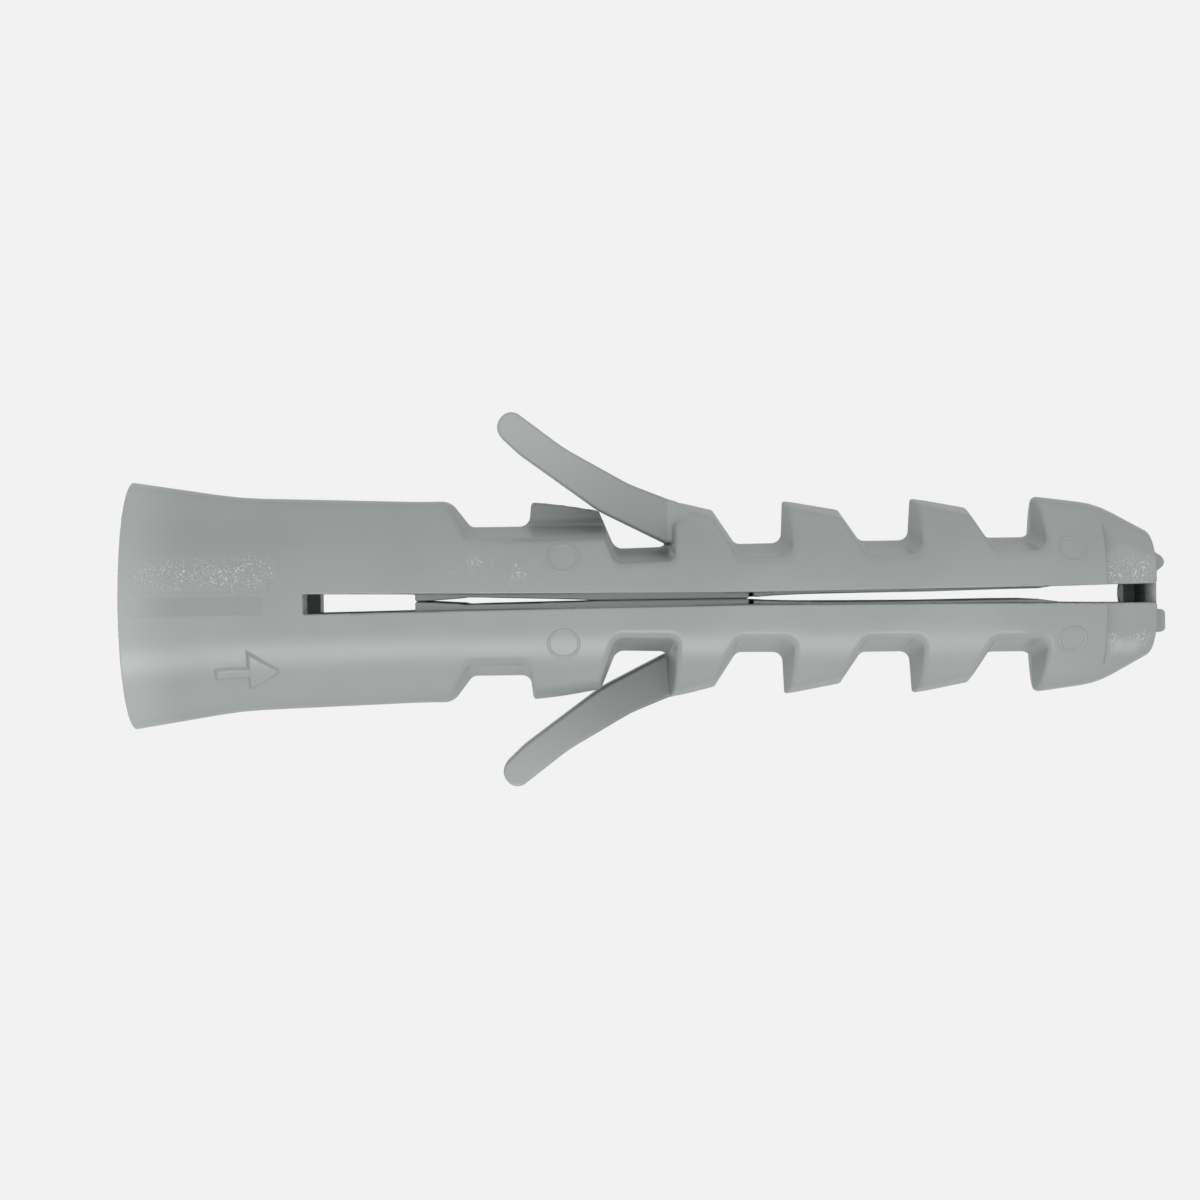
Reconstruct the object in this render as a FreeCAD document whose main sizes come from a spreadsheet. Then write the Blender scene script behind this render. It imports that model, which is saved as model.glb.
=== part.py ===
import FreeCAD, Part
import Sketcher
import os

# Nylon expansion plug (wall anchor) for an 8 mm hole, in millimetres.
# +X runs along the plug from the rim at the wall's face to the tip. The origin is the centre of the rim's
# entry face. +Y points to the upper leg, and +Z is up, in the plane of the slot that parts the two legs.

# Every size of the plug, by name. Lengths are in millimetres; names with "angle" or "slope" are in degrees.
# The sketches are bound to these through the spreadsheet. A name ending in _x is a place along the plug,
# _r a radius, _h or _y a height above the axis and _half a half width of the slot.
SIZES = {
    # neck sleeve: flared rim, screw bore, shallow band that carries on the line of the slot to each side
    "rim_r": 4.81,
    "rim_land_x": 0.3,
    "rim_edge_round": 0.1,
    "flare_end_x": 4.2,
    "flare_end_r": 4.18,
    "flare_round": 12.0,
    "neck_end_x": 7.08,
    "neck_end_r": 4.06,
    "bore_r": 2.5,
    "bore_mouth_r": 2.75,
    "bore_mouth_x": 0.3,
    "band_start_x": 0.35,
    "band_end_x": 5.95,
    "band_end_r": 4.108,
    "band_depth": 0.05,
    "band_reach": 1.0,
    "band_angle": 9.9,
    # legs: outer envelope, with the nose's bend and the rounding of its end
    "leg_start_x": 7.1,
    "leg_start_r": 4.06,
    "leg_taper_x": 11.2,
    "shank_r": 3.95,
    "nose_start_x": 34.9,
    "nose_start_r": 3.87,
    "nose_run_in": 0.7,
    "nose_bend_x": 37.7,
    "nose_bend_r": 3.53,
    "nose_bend_round": 6.0,
    "tip_x": 40.0,
    "tip_r": 2.26,
    "tip_round": 0.35,
    # notches between the teeth: each floor is highest in the plane z = 0 and falls away to both sides
    "cutter_half_w": 4.6,
    "cutter_top": 5.6,
    "floor_draft": 0.78,
    "brow_x": 12.2,
    "brow_h": 3.93,
    "brow_low_x": 12.65,
    "brow_low_h": 3.68,
    "corner_run": 0.3,
    "corner_set_back": 0.07,
    "corner_rise": 0.24,
    "notch_1_start_x": 13.45,
    "notch_1_end_x": 15.6,
    "notch_1_floor_h": 2.92,
    "tooth_1_crown_x": 15.7,
    "tooth_1_crown_h": 3.92,
    "tooth_1_back_x": 18.3,
    "tooth_1_back_h": 3.48,
    "notch_2_start_x": 18.92,
    "notch_2_end_x": 20.95,
    "notch_2_floor_h": 2.04,
    "tooth_2_crown_x": 21.0,
    "tooth_2_crown_h": 3.86,
    "tooth_2_back_x": 22.72,
    "tooth_2_back_h": 3.4,
    "notch_3_start_x": 23.6,
    "notch_3_end_x": 25.45,
    "notch_3_floor_h": 2.17,
    "tooth_3_crown_x": 25.55,
    "tooth_3_crown_h": 3.76,
    "tooth_3_back_x": 27.66,
    "tooth_3_back_h": 3.36,
    "notch_4_start_x": 28.5,
    "notch_4_end_x": 30.4,
    "notch_4_floor_h": 2.17,
    "tooth_4_crown_x": 30.5,
    "tooth_4_crown_h": 3.77,
    "tooth_4_back_x": 32.7,
    "tooth_4_back_h": 3.4,
    "notch_5_start_x": 33.5,
    "notch_5_end_x": 35.25,
    "notch_5_floor_h": 2.22,
    "tooth_5_crown_x": 35.35,
    "tooth_5_crown_h": 4.05,
    # slot between the legs: half widths at its two open edges and at the crest of the clamping ribs
    "slot_low": 0.6,
    "crest_half_w": 1.0,
    "slot_edge_z": 4.6,
    "slot_root_half": 0.375,
    "rib_1_start_x": 11.04,
    "rib_1_face_x": 11.06,
    "rib_1_lip_x": 11.5,
    "rib_1_open_x": 13.05,
    "rib_1_shut_x": 18.0,
    "rib_1_end_x": 24.0,
    "rib_2_start_x": 24.18,
    "rib_2_open_x": 28.5,
    "rib_2_end_x": 36.0,
    "rib_2_run_out_x": 36.4,
    "slot_end_x": 40.8,
    "rib_step": 0.02,
    "crest_shut_half": 0.02,
    "crest_open_half": 0.118,
    "crest_mid_half": 0.14,
    "crest_end_half": 0.2,
    "slot_low_half": 0.335,
    "slot_mid_half": 0.28,
    "slot_waist_half": 0.235,
    "slot_rear_half": 0.26,
    "slot_tip_half": 0.325,
    # screw channel inside the legs
    "channel_start_x": 6.9,
    "channel_cone_x": 9.8,
    "channel_cone_r": 1.9,
    "pilot_start_r": 1.5,
    "pilot_end_r": 0.6,
    # recess across the first tooth, which the tongue folds into
    "recess_start_x": 15.2,
    "recess_end_x": 18.95,
    "recess_floor_h": 2.9,
    # round marks of the ejector pins, sunk in the legs: angle is round the axis, floor its distance from it
    "mark_1_x": 16.86,
    "mark_1_r": 0.6,
    "mark_1_angle": 24.5,
    "mark_1_slope": 0.0,
    "mark_1_floor": 3.88,
    "mark_2_x": 36.5,
    "mark_2_r": 0.52,
    "mark_2_angle": 27.0,
    "mark_2_slope": 7.0,
    "mark_2_floor": 3.6,
    "mark_reach": 1.0,
    # gate nub on the end of each leg
    "nub_start_x": 39.7,
    "nub_end_x": 40.45,
    "nub_half_depth": 0.45,
    "nub_low_y": 0.72,
    "nub_high_y": 1.5,
    "nub_bevel": 0.2,
    # anti-rotation tongue: the lower and upper edge of its side view, from the stub on the second tooth
    # to the rounded end
    "tongue_back_z": 0.15,
    "tongue_width": 2.25,
    "tongue_bevel": 0.3,
    "stub_heel_x": 20.93,
    "stub_heel_y": 2.1,
    "stub_end_x": 21.7,
    "stub_end_low_y": 2.3,
    "stub_end_high_y": 3.6,
    "root_x": 20.6,
    "root_gap_x": 0.02,
    "root_low_y": 2.26,
    "root_high_y": 3.95,
    "root_crest_x": 19.65,
    "root_crest_y": 4.34,
    "root_heel_x": 19.1,
    "root_heel_y": 2.96,
    "split_low_x": 18.3,
    "split_low_y": 3.41,
    "split_high_x": 19.02,
    "split_high_y": 4.67,
    "split_gap_x": 0.02,
    "flank_low_x": 16.83,
    "flank_low_y": 4.38,
    "flank_high_x": 17.0,
    "flank_high_y": 5.83,
    "shin_low_x": 15.23,
    "shin_low_y": 5.66,
    "shin_high_x": 16.03,
    "shin_high_y": 6.54,
    "toe_low_x": 14.13,
    "toe_low_y": 6.6,
    "toe_high_x": 14.83,
    "toe_high_y": 7.5,
    "toe_round": 0.55,
    # break-away web between the tips of the legs
    "web_start_x": 38.7,
    "web_end_x": 40.0,
    "web_tear_y": 0.015,
    "web_depth": 3.2,
    "web_cell_start_x": 39.02,
    "web_cell_end_x": 39.68,
    "web_cell_floor_z": 0.2,
    "web_cell_depth": 2.0,
}

# Two lengths or volumes nearer than this count as equal.
NEAR = 1e-4
# The screw channel is swept a little past the leg's half turn, to cut clean through the slot's face.
CHANNEL_SWEEP = 200

doc = FreeCAD.newDocument("wall_anchor")


def make_sheet():
    """Puts every size in an aliased cell of one spreadsheet."""
    sheet = doc.addObject("Spreadsheet::Sheet", "dims")
    for row, (alias, number) in enumerate(SIZES.items(), start=1):
        sheet.set(f"A{row}", alias)
        sheet.set(f"B{row}", str(number))
        sheet.setAlias(f"B{row}", alias)
    doc.recompute()


def number_of(terms):
    """The value of a sum of sizes, written as names with + and - between them, or of "0"."""
    if terms == "0":
        return 0.0
    total, sign = 0.0, 1.0
    for word in terms.split():
        if word in "+-":
            sign = 1.0 if word == "+" else -1.0
        else:
            total += sign * SIZES[word]
    return total


def formula_of(terms):
    """The same sum as an expression on the spreadsheet."""
    return " ".join(word if word in "+-" else f"dims.{word}" for word in terms.split())


def make_body(label):
    """A new, empty body with a name of its own."""
    body = doc.addObject("PartDesign::Body", label)
    body.Label = label
    return body


def origin_plane(body, role):
    """One of the planes through the body's own origin."""
    return next(item for item in body.Origin.OriginFeatures if item.Role == role)


def attach(sketch, body, plane_role, offset=None):
    """Puts a sketch on an origin plane of its body, moved out along the plane's normal."""
    sketch.AttachmentSupport = [(origin_plane(body, plane_role), "")]
    sketch.MapMode = "FlatFace"
    if offset:
        sketch.setExpression("AttachmentOffset.Base.z", formula_of(offset))


def bind_point(sketch, edge, across, along):
    """Fixes the start of an edge at two sizes. A "0" puts it on the sketch's own axis."""
    for kind, terms, axis in (("DistanceX", across, -2), ("DistanceY", along, -1)):
        if terms == "0":
            sketch.addConstraint(Sketcher.Constraint("PointOnObject", edge, 1, axis))
            continue
        index = sketch.addConstraint(Sketcher.Constraint(kind, -1, 1, edge, 1, number_of(terms)))
        sketch.setExpression(f"Constraints[{index}]", formula_of(terms))


def polygon(body, name, corners, plane_role="XY_Plane", offset=None):
    """A closed outline with straight sides, every corner bound to the spreadsheet."""
    sketch = body.newObject("Sketcher::SketchObject", name)
    attach(sketch, body, plane_role, offset)
    points = [FreeCAD.Vector(number_of(across), number_of(along), 0) for across, along in corners]
    for start, end in zip(points, points[1:] + points[:1]):
        sketch.addGeometry(Part.LineSegment(start, end), False)
    for edge in range(len(points)):
        sketch.addConstraint(Sketcher.Constraint("Coincident", edge, 2, (edge + 1) % len(points), 1))
    for edge, (across, along) in enumerate(corners):
        bind_point(sketch, edge, across, along)
    doc.recompute()
    return sketch


def add_feature(body, kind, name, sketch, **settings):
    """Adds one feature made from a sketch and recomputes."""
    feature = body.newObject(f"PartDesign::{kind}", name)
    feature.Profile = sketch
    for setting, chosen in settings.items():
        setattr(feature, setting, chosen)
    doc.recompute()
    return feature


def turned(body, name, corners, angle, kind="Revolution", plane_role="XY_Plane"):
    """Turns an outline about the plug's axis, evenly to both sides of its own plane."""
    sketch = polygon(body, name + "_outline", corners, plane_role)
    axis = (sketch, ["H_Axis"])
    return add_feature(body, kind, name, sketch, ReferenceAxis=axis, Angle=angle, Midplane=True)


def edge_names(feature, wanted):
    """Names of a feature's edges that the test picks."""
    return [f"Edge{number}" for number, edge in enumerate(feature.Shape.Edges, start=1) if wanted(edge)]


def round_edges(body, name, radius, wanted):
    """Rounds the edges of the body's last feature that the test picks."""
    base = body.Tip
    fillet = body.newObject("PartDesign::Fillet", name)
    fillet.Base = (base, edge_names(base, wanted))
    fillet.setExpression("Radius", formula_of(radius))
    doc.recompute()
    return fillet


def round_rings(body, name, place, radius):
    """Rounds the widest circular edge at a place along the axis."""
    x = number_of(place)

    def radius_at_place(edge):
        box = edge.BoundBox
        flat = abs(box.XMin - x) < NEAR and abs(box.XMax - x) < NEAR
        return edge.Curve.Radius if flat and edge.Curve.TypeId == "Part::GeomCircle" else 0.0

    widest = max(radius_at_place(edge) for edge in body.Tip.Shape.Edges)
    return round_edges(body, name, radius, lambda edge: radius_at_place(edge) > widest - NEAR)


def lofted_cut(body, name, stations, section):
    """Cuts a ruled loft through the sections at the given stations along X."""
    sketches = [
        polygon(body, f"{name}_section_{number}", section(*heights), "YZ_Plane", place)
        for number, (place, *heights) in enumerate(stations, start=1)
    ]
    volume = body.Shape.Volume
    cut = add_feature(body, "SubtractiveLoft", name, sketches[0], Sections=sketches[1:], Ruled=True)
    check_cut(body, name, volume)
    return cut


def pocket(body, name, sketch, depth, outward=True):
    """Cuts a sketch's outline along its normal when outward, against it otherwise."""
    volume = body.Shape.Volume
    cut = add_feature(body, "Pocket", name, sketch, Reversed=outward)
    cut.setExpression("Length", formula_of(depth))
    doc.recompute()
    check_cut(body, name, volume)
    return cut


def ejector_mark(body, number, flipped):
    """Sinks the shallow round mark of an ejector pin beside the slot, square to the leg's surface.

    Both legs' marks are on the plug's front. The lower leg is the upper one turned over, so its own marks
    are put on the side that ends up there.
    """
    mark = f"mark_{number}"
    lean = SIZES[f"{mark}_angle"]
    turn = FreeCAD.Rotation(FreeCAD.Vector(1, 0, 0), lean - 180 if flipped else -lean)
    slope = FreeCAD.Rotation(FreeCAD.Vector(0, 1, 0), SIZES[f"{mark}_slope"])
    sketch = body.newObject("Sketcher::SketchObject", f"{mark}_outline")
    attach(sketch, body, "XY_Plane")
    sketch.AttachmentOffset = FreeCAD.Placement(FreeCAD.Vector(0, 0, 0), turn.multiply(slope))
    side = "-" if flipped else ""
    sketch.setExpression("AttachmentOffset.Base.x", f"dims.{mark}_x")
    sketch.setExpression("AttachmentOffset.Base.y", f"dims.{mark}_floor * sin(dims.{mark}_angle)")
    sketch.setExpression("AttachmentOffset.Base.z", f"{side}dims.{mark}_floor * cos(dims.{mark}_angle)")
    circle = Part.Circle(FreeCAD.Vector(0, 0, 0), FreeCAD.Vector(0, 0, 1), SIZES[f"{mark}_r"])
    sketch.addGeometry(circle, False)
    sketch.addConstraint(Sketcher.Constraint("Coincident", 0, 3, -1, 1))
    index = sketch.addConstraint(Sketcher.Constraint("Radius", 0, SIZES[f"{mark}_r"]))
    sketch.setExpression(f"Constraints[{index}]", f"dims.{mark}_r")
    doc.recompute()
    pocket(body, mark, sketch, "mark_reach")


def check_cut(body, name, volume):
    """Stops if a cut has left the body's volume as it was."""
    if body.Shape.Volume > volume - NEAR:
        raise RuntimeError(f"{body.Label}: {name} removes nothing")


def rectangle(low_x, high_x, low_y, high_y):
    """Corners of a rectangle, in order."""
    return [(low_x, low_y), (high_x, low_y), (high_x, high_y), (low_x, high_y)]


def build_neck():
    """Closed ring that the screw enters, with the flare that stops it at the wall's face."""
    body = make_body("neck_sleeve")
    outline = [
        ("0", "bore_mouth_r"),
        ("0", "rim_r"),
        ("rim_land_x", "rim_r"),
        ("flare_end_x", "flare_end_r"),
        ("neck_end_x", "neck_end_r"),
        ("neck_end_x", "bore_r"),
        ("bore_mouth_x", "bore_r"),
    ]
    turned(body, "ring", outline, 360)
    round_rings(body, "flare_blend", "flare_end_x", "flare_round")
    round_rings(body, "rim_edge", "0", "rim_edge_round")
    band = [
        ("band_start_x", "rim_r - band_depth"),
        ("flare_end_x", "flare_end_r - band_depth"),
        ("band_end_x", "band_end_r - band_depth"),
        ("band_end_x", "rim_r + band_reach"),
        ("band_start_x", "rim_r + band_reach"),
    ]
    front = turned(body, "front_band", band, SIZES["band_angle"], "Groove", "XZ_Plane")
    rear = body.newObject("PartDesign::Mirrored", "rear_band")
    rear.Originals = [front]
    rear.MirrorPlane = (origin_plane(body, "XY_Plane"), [""])
    body.Tip = rear
    doc.recompute()
    return body


def roof(ridge):
    """Cross-section of the room above a floor that is highest at the mid-plane."""
    return [
        (ridge + " - floor_draft", "- cutter_half_w"),
        (ridge, "0"),
        (ridge + " - floor_draft", "cutter_half_w"),
        ("cutter_top", "cutter_half_w"),
        ("cutter_top", "- cutter_half_w"),
    ]


def front_roof(ridge):
    """The half of the same cross-section on the side of the tongue."""
    return [
        (ridge, "0"),
        (ridge + " - floor_draft", "cutter_half_w"),
        ("cutter_top", "cutter_half_w"),
        ("cutter_top", "0"),
    ]


def slot_side(edge, crest):
    """Cross-section of half the slot: its width at the open edges and at the crest of the rib."""
    return [
        ("- slot_low", "- slot_edge_z"),
        (edge, "- slot_edge_z"),
        (crest, "- crest_half_w"),
        (crest, "crest_half_w"),
        (edge, "slot_edge_z"),
        ("- slot_low", "slot_edge_z"),
    ]


def tooth_line():
    """Height of the leg's outer side along X: the notches' floors and the teeth's slanting crowns."""
    line = [("brow_x", "brow_h"), ("brow_low_x", "brow_low_h")]
    for tooth in range(1, 6):
        floor = f"notch_{tooth}_floor_h"
        end = f"notch_{tooth}_end_x"
        line.append((f"notch_{tooth}_start_x", floor))
        line.append((end + " - corner_run", floor))
        line.append((end + " - corner_set_back", floor + " + corner_rise"))
        line.append((f"tooth_{tooth}_crown_x", f"tooth_{tooth}_crown_h"))
        if tooth < 5:
            line.append((f"tooth_{tooth}_back_x", f"tooth_{tooth}_back_h"))
    return line


def slot_line():
    """Half widths of the slot along X, at its edges and at the crest of the clamping ribs."""
    return [
        ("channel_start_x", "slot_root_half", "slot_root_half"),
        ("rib_1_start_x", "slot_low_half", "slot_low_half"),
        ("rib_1_face_x", "slot_low_half", "crest_shut_half"),
        ("rib_1_lip_x", "slot_low_half", "crest_shut_half"),
        ("rib_1_open_x", "slot_low_half", "crest_open_half"),
        ("rib_1_shut_x", "slot_mid_half", "crest_shut_half"),
        ("rib_1_end_x", "slot_waist_half", "crest_shut_half"),
        ("rib_1_end_x + rib_step", "slot_waist_half", "slot_waist_half"),
        ("rib_2_start_x", "slot_waist_half", "slot_waist_half"),
        ("rib_2_start_x + rib_step", "slot_waist_half", "crest_shut_half"),
        ("rib_2_open_x", "slot_rear_half", "crest_mid_half"),
        ("rib_2_end_x", "slot_tip_half", "crest_end_half"),
        ("rib_2_run_out_x", "slot_tip_half", "slot_tip_half"),
        ("slot_end_x", "slot_tip_half", "slot_tip_half"),
    ]


def build_leg(side):
    """Half-round expansion leg: four barbed teeth, the nose, two clamping ribs and a gate nub."""
    body = make_body(side + "_leg")
    envelope = [
        ("leg_start_x", "0"),
        ("leg_start_x", "leg_start_r"),
        ("leg_taper_x", "shank_r"),
        ("nose_start_x - nose_run_in", "shank_r"),
        ("nose_start_x", "nose_start_r"),
        ("nose_bend_x", "nose_bend_r"),
        ("tip_x", "tip_r"),
        ("tip_x", "0"),
    ]
    turned(body, "half_bar", envelope, 180)
    round_rings(body, "nose_bend", "nose_bend_x", "nose_bend_round")
    round_rings(body, "tip_edge", "tip_x", "tip_round")
    lofted_cut(body, "teeth", tooth_line(), roof)
    recess = [("recess_start_x", "recess_floor_h"), ("recess_end_x", "recess_floor_h")]
    lofted_cut(body, "tongue_recess", recess, front_roof)
    lofted_cut(body, "slot", slot_line(), slot_side)
    channel = [
        ("channel_start_x", "0"),
        ("channel_start_x", "bore_r"),
        ("channel_cone_x", "bore_r"),
        ("rib_1_start_x", "channel_cone_r"),
        ("rib_1_start_x", "pilot_start_r"),
        ("rib_1_end_x", "pilot_end_r"),
        ("rib_1_end_x", "0"),
    ]
    turned(body, "screw_channel", channel, CHANNEL_SWEEP, "Groove")
    add_tongue_stub(body)
    add_gate_nub(body)
    for number in (1, 2):
        ejector_mark(body, number, side == "lower")
    return body


def add_tongue_stub(body):
    """The root that the tongue's moving part leaves from, on the back of the second tooth."""
    outline = [
        ("root_x + root_gap_x", "root_low_y"),
        ("stub_heel_x", "stub_heel_y"),
        ("stub_end_x", "stub_end_low_y"),
        ("stub_end_x", "stub_end_high_y"),
        ("root_x + root_gap_x", "root_high_y"),
    ]
    sketch = polygon(body, "tongue_stub_outline", outline, "XY_Plane", "tongue_back_z")
    pad = add_feature(body, "Pad", "tongue_stub", sketch)
    pad.setExpression("Length", "dims.tongue_width")
    doc.recompute()


def add_gate_nub(body):
    """The bevelled nub that the moulding's gate leaves on the end of the leg."""
    outline = [
        ("nub_start_x", "nub_low_y"),
        ("nub_end_x - nub_bevel", "nub_low_y"),
        ("nub_end_x", "nub_low_y + nub_bevel"),
        ("nub_end_x", "nub_high_y - nub_bevel"),
        ("nub_end_x - nub_bevel", "nub_high_y"),
        ("nub_start_x", "nub_high_y"),
    ]
    pad = add_feature(body, "Pad", "gate_nub", polygon(body, "nub_outline", outline), SideType="Symmetric")
    pad.setExpression("Length", "2 * dims.nub_half_depth")
    doc.recompute()


def pad_tongue(body, outline, outer_side, rounded_end=()):
    """Pads a tongue's side view outwards from near z = 0, rounds its end and bevels its long outer edge."""
    sketch = polygon(body, "side_view", outline, "XY_Plane", "tongue_back_z")
    pad = add_feature(body, "Pad", "blade", sketch)
    pad.setExpression("Length", "dims.tongue_width")
    doc.recompute()
    if rounded_end:
        ends = [FreeCAD.Vector(number_of(x), number_of(y), 0) for x, y in rounded_end]

        def is_end(edge):
            middle = edge.CenterOfMass
            if edge.BoundBox.ZLength < SIZES["tongue_width"] / 2:
                return False
            return any(middle.isEqual(FreeCAD.Vector(end.x, end.y, middle.z), NEAR) for end in ends)

        round_edges(body, "rounded_end", "toe_round", is_end)
    front = number_of("tongue_back_z + tongue_width")
    outer = [FreeCAD.Vector(number_of(x), number_of(y), front) for x, y in outer_side]
    middles = [Part.Vertex(a.add(b).multiply(0.5)) for a, b in zip(outer, outer[1:])]

    def is_outer(edge):
        in_front = edge.BoundBox.ZMin > front - NEAR
        return in_front and any(edge.distToShape(middle)[0] < 10 * NEAR for middle in middles)

    base = body.Tip
    bevel = body.newObject("PartDesign::Chamfer", "outer_bevel")
    bevel.Base = (base, edge_names(base, is_outer))
    bevel.setExpression("Size", "dims.tongue_bevel")
    doc.recompute()


def build_tongue_root(side):
    """Root half of the tongue, which bends where it leaves the second tooth."""
    body = make_body(side + "_tongue_root")
    outline = [
        ("root_x", "root_low_y"),
        ("root_x", "root_high_y"),
        ("root_crest_x", "root_crest_y"),
        ("split_high_x", "split_high_y"),
        ("split_low_x", "split_low_y"),
        ("root_heel_x", "root_heel_y"),
    ]
    pad_tongue(body, outline, outline[1:4])
    return body


def build_tongue_tip(side):
    """Free half of the tongue, with the rounded end that grips the wall of the hole."""
    body = make_body(side + "_tongue_tip")
    outline = [
        ("split_low_x - split_gap_x", "split_low_y"),
        ("split_high_x - split_gap_x", "split_high_y"),
        ("flank_high_x", "flank_high_y"),
        ("shin_high_x", "shin_high_y"),
        ("toe_high_x", "toe_high_y"),
        ("toe_low_x", "toe_low_y"),
        ("shin_low_x", "shin_low_y"),
        ("flank_low_x", "flank_low_y"),
    ]
    pad_tongue(body, outline, outline[1:5], rounded_end=outline[4:6])
    return body


def build_web(side):
    """This leg's share of the thin web that holds the tips together until the screw breaks it."""
    body = make_body(side + "_tip_web")
    whole = rectangle("web_start_x", "web_end_x", "web_tear_y", "slot_tip_half")
    pad = add_feature(body, "Pad", "web", polygon(body, "web_outline", whole), SideType="Symmetric")
    pad.setExpression("Length", "dims.web_depth")
    doc.recompute()
    low, high = "web_tear_y - slot_low", "slot_tip_half + slot_low"
    cell = rectangle("web_cell_start_x", "web_cell_end_x", low, high)
    floors = {"front": "web_cell_floor_z", "rear": "- web_cell_floor_z"}
    for name, floor in floors.items():
        sketch = polygon(body, f"{name}_cell_outline", cell, "XY_Plane", floor)
        pocket(body, f"{name}_cell", sketch, "web_cell_depth", outward=name == "front")
    return body


def build_side(side):
    """One leg with its tongue and web. The lower side is the upper one turned half way about the axis."""
    bodies = [build_leg(side), build_tongue_root(side), build_tongue_tip(side), build_web(side)]
    angle = 0 if side == "upper" else 180
    half_turn = FreeCAD.Rotation(FreeCAD.Vector(1, 0, 0), angle)
    for body in bodies:
        body.Placement = FreeCAD.Placement(FreeCAD.Vector(0, 0, 0), half_turn)
    return bodies


def check_document():
    """Stops if any object failed to compute."""
    for item in doc.Objects:
        if {"Invalid", "Error"} & set(item.State):
            raise RuntimeError(f"{item.Name} is in state {item.State}")


def write_parts(bodies):
    """Writes every body as its own STEP file, if it is one valid solid."""
    os.makedirs("parts", exist_ok=True)
    for body in bodies:
        shape = body.Shape
        if shape.isNull() or not shape.isValid() or len(shape.Solids) != 1:
            raise RuntimeError(f"{body.Label} isn't one valid solid")
        shape.exportStep(f"parts/{body.Label}.step")
        print(f"{body.Label}: {shape.Volume:.2f} mm3, {len(shape.Faces)} faces")


make_sheet()
all_bodies = [build_neck()] + build_side("upper") + build_side("lower")
doc.recompute()
check_document()
write_parts(all_bodies)
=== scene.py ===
import math

import bmesh
import bpy
import numpy as np
import openvdb
from mathutils import Matrix, Quaternion, Vector


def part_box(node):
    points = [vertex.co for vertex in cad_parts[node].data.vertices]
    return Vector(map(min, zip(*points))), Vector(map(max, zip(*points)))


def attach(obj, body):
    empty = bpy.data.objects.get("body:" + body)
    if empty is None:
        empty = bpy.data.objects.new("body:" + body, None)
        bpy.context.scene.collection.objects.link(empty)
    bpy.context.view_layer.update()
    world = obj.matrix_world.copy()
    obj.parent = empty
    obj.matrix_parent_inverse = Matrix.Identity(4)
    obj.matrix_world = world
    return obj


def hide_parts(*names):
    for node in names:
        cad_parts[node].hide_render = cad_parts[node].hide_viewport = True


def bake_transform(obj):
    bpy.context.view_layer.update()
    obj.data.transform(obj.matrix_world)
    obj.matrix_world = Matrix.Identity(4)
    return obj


# A moulded nylon expansion plug on a light table. Shapes are worked out in millimetres, as solids described
# by a field that is negative inside, and then meshed. +X runs from rim to tip, +Y points to the upper leg,
# and the slot opens along Z. Apart from small marks, the lower half is the upper one turned half a turn
# about X.

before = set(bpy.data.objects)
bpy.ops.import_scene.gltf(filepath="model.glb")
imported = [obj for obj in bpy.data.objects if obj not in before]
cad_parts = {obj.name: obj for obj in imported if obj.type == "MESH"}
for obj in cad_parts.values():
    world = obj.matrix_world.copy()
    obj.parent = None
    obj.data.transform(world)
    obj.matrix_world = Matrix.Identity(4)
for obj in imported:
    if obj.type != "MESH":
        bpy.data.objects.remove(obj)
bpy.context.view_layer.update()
MM = 0.001


def corners_mm(node):
    """Lowest and highest corner of a CAD node, in millimetres."""
    return [np.array(corner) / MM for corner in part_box(node)]


neck_high = corners_mm("neck_sleeve")[1]
leg_low = corners_mm("upper_leg")[0]
web_high = corners_mm("upper_tip_web")[1]
root_low, root_high = corners_mm("upper_tongue_root")
tip_low, tip_high = corners_mm("upper_tongue_tip")

# Two pieces meet in the middle of the gap between their CAD nodes. The gaps at a tongue's ends are this wide.
TONGUE_GAP = 0.02

RIM_R = neck_high[1]
LEG_START = (neck_high[0] + leg_low[0]) / 2
TIP_X = web_high[0]
TONGUE_BACK = root_low[2]
TONGUE_FRONT = root_high[2]
ROOT_X = root_high[0] + TONGUE_GAP / 2
# A tongue is split along a line from its inner face to its outer face.
SPLIT = (root_low[0] - TONGUE_GAP / 2, tip_low[1])
SPLIT_TOP = (tip_high[0] + TONGUE_GAP / 2, root_high[1])

SHANK_R = 3.95
BORE_R = 2.5
SLOT_START = 7.07
# The notches' floors fall away from the plane z = 0 by this much for every millimetre of depth.
DRAFT = 0.17
# Past this place along X, the walls of the notches are drafted too.
WALL_DRAFT_START = 20
WALL_DRAFT = 0.08
# The recess that a tongue folds into, and the height of its floor.
RECESS_START = 14.5
RECESS_END = 20.2
RECESS_FLOOR = 2.95
# The clamping ribs reach this far from the plane z = 0, which leaves them sunk below the skin.
RIB_Z = 3.4
RIB_START = 11.22
RIB_END = 35.95
# A narrow cut parts each rib in two.
RIB_CUT = 24.1
# The flats on the nose start here, and are this far from the plane z = 0 there.
NOSE_X = 37.8
NOSE_FLAT_Z = 2.75
# The web starts here, and reaches this far from the plane z = 0.
WEB_X = 38.7
WEB_REACH = 1.9
# The arrow's middle, as a place along the neck and an angle from +Z towards -Y, and the neck's radius there.
ARROW_X = 4.8
ARROW_ANGLE = 0.66
ARROW_R = 4.3
# The rounding of most cut edges.
EDGE = 0.06


# Distances in two dimensions


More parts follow.
